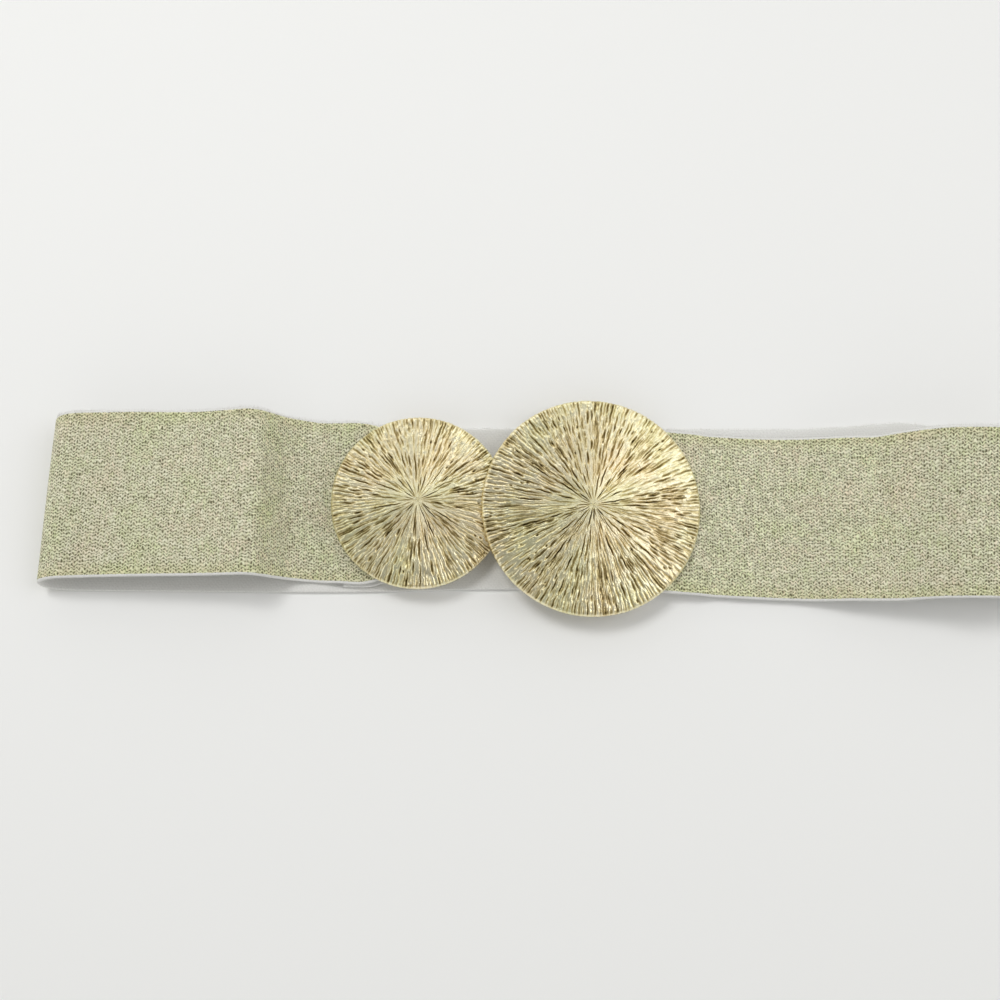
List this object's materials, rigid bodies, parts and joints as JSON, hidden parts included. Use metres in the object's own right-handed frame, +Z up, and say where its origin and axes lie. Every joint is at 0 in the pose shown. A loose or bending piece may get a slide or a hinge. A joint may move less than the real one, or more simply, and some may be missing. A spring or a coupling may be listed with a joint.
{
  "type": "elastic stretch belt",
  "caption": "Wide woven elastic waist belt lying flat as a closed loop, fastened by a buckle of two overlapping domed discs with rayed relief.",
  "frame": {"origin": "middle of the belt's footprint on the surface that it lies on", "axes": "+X along the belt, +Y towards the far edge as it lies, +Z up, through the buckle's face"},
  "size_m": [0.3634, 0.079, 0.0318],
  "materials": {
    "woven_elastic": "glittering champagne weave outside, white inside",
    "gilt_disc": "pale gilt with raised rays and darkened grooves",
    "plain_hook": "plain satin gilt"
  },
  "bodies": {
    "root": {"elastic_band": "woven_elastic", "small_disc": "gilt_disc", "large_disc": "gilt_disc", "clasp_hook": "plain_hook"}
  },
  "joints": []
}
